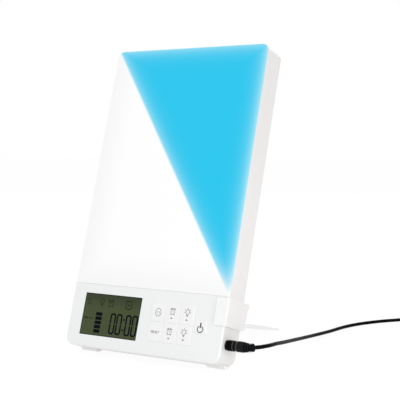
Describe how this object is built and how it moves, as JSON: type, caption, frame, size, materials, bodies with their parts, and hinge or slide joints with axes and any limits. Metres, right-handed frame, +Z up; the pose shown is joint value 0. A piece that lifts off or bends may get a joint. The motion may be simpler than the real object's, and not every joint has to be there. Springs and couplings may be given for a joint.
{
  "type": "light therapy lamp",
  "caption": "Flat rectangular light panel that leans back on a clip-on folding leg, with a small clock display and keys along its lower edge, and a corded wall adapter plugged into its side.",
  "frame": {"origin": "on the table, at the middle of the lamp's footprint: halfway between its sides and halfway between the front bottom edge and the end of the leg", "axes": "+Z up; +X to the lamp's own left, the side with the power key, the bracket's lip and the DC socket, which is on the right for a person facing the light; +Y backwards, the way the light doesn't shine"},
  "size_m": [0.306, 0.3505, 0.2462],
  "materials": {
    "cover_white": "satin",
    "diffuser_lit": "satin",
    "lcd_front": "polished",
    "lcd_glass": "polished",
    "key_white": "satin",
    "carrier_white": "matte",
    "black_plastic": "matte",
    "board_green": "satin",
    "led_board_metal": "satin",
    "led_white": "polished",
    "led_blue": "polished",
    "lead_ivory": "matte",
    "speaker_black": "matte",
    "steel": "brushed",
    "foot_grey": "matte",
    "plug_metal": "polished",
    "cord_black": "satin",
    "adapter_black": "matte",
    "blade_metal": "brushed"
  },
  "bodies": {
    "lamp": {"back_cover": "cover_white", "diffuser": "diffuser_lit", "control_panel": "cover_white", "display_window": "lcd_front", "display_glass": "lcd_glass", "display_carrier": "carrier_white", "key_switches": "black_plastic", "control_board": "board_green", "led_board": "led_board_metal", "white_leds": "led_white", "blue_leds": "led_blue", "reflector_tray": "carrier_white", "power_board": "board_green", "led_lead": "lead_ivory", "dc_jack": "black_plastic", "speaker": "speaker_black", "cell_holder": "carrier_white", "backup_cell": "steel", "cell_door": "cover_white", "door_screw": "steel", "case_screws": "steel", "rubber_feet": "foot_grey", "stand_bracket": "cover_white", "hinge_pin": "steel", "plug_barrel": "plug_metal", "plug_body": "cord_black", "plug_relief": "cord_black", "dc_cord": "cord_black", "cord_coil": "cord_black", "cord_tail": "cord_black", "adapter_case": "adapter_black", "adapter_face": "adapter_black", "adapter_blades": "blade_metal", "adapter_relief": "cord_black"},
    "leg": {"stand_leg": "cover_white", "leg_strip": "foot_grey"},
    "key_sound": {"key_sound": "key_white"},
    "key_reset": {"key_reset": "key_white"},
    "key_alarm_up": {"key_alarm_up": "key_white"},
    "key_alarm_down": {"key_alarm_down": "key_white"},
    "key_light_up": {"key_light_up": "key_white"},
    "key_light_down": {"key_light_down": "key_white"},
    "key_power": {"key_power": "key_white"}
  },
  "joints": [
    {"name": "stand_fold", "type": "hinge", "parent": "lamp", "child": "leg", "pos_m": [0, -0.04929, 0.03009], "axis": [1, 0, 0], "range_deg": [0, 84.6]},
    {"name": "press_sound", "type": "slide", "parent": "lamp", "child": "key_sound", "axis": [0, 0.9542, -0.299], "range_m": [0, 0.0005], "stiffness_N_per_m": 1500, "springref_m": -0.0004},
    {"name": "press_reset", "type": "slide", "parent": "lamp", "child": "key_reset", "axis": [0, 0.9542, -0.299], "range_m": [0, 0.0005], "stiffness_N_per_m": 1500, "springref_m": -0.0004},
    {"name": "press_alarm_up", "type": "slide", "parent": "lamp", "child": "key_alarm_up", "axis": [0, 0.9542, -0.299], "range_m": [0, 0.0005], "stiffness_N_per_m": 1500, "springref_m": -0.0004},
    {"name": "press_alarm_down", "type": "slide", "parent": "lamp", "child": "key_alarm_down", "axis": [0, 0.9542, -0.299], "range_m": [0, 0.0005], "stiffness_N_per_m": 1500, "springref_m": -0.0004},
    {"name": "press_light_up", "type": "slide", "parent": "lamp", "child": "key_light_up", "axis": [0, 0.9542, -0.299], "range_m": [0, 0.0005], "stiffness_N_per_m": 1500, "springref_m": -0.0004},
    {"name": "press_light_down", "type": "slide", "parent": "lamp", "child": "key_light_down", "axis": [0, 0.9542, -0.299], "range_m": [0, 0.0005], "stiffness_N_per_m": 1500, "springref_m": -0.0004},
    {"name": "press_power", "type": "slide", "parent": "lamp", "child": "key_power", "axis": [0, 0.9542, -0.299], "range_m": [0, 0.0005], "stiffness_N_per_m": 1500, "springref_m": -0.0004}
  ]
}
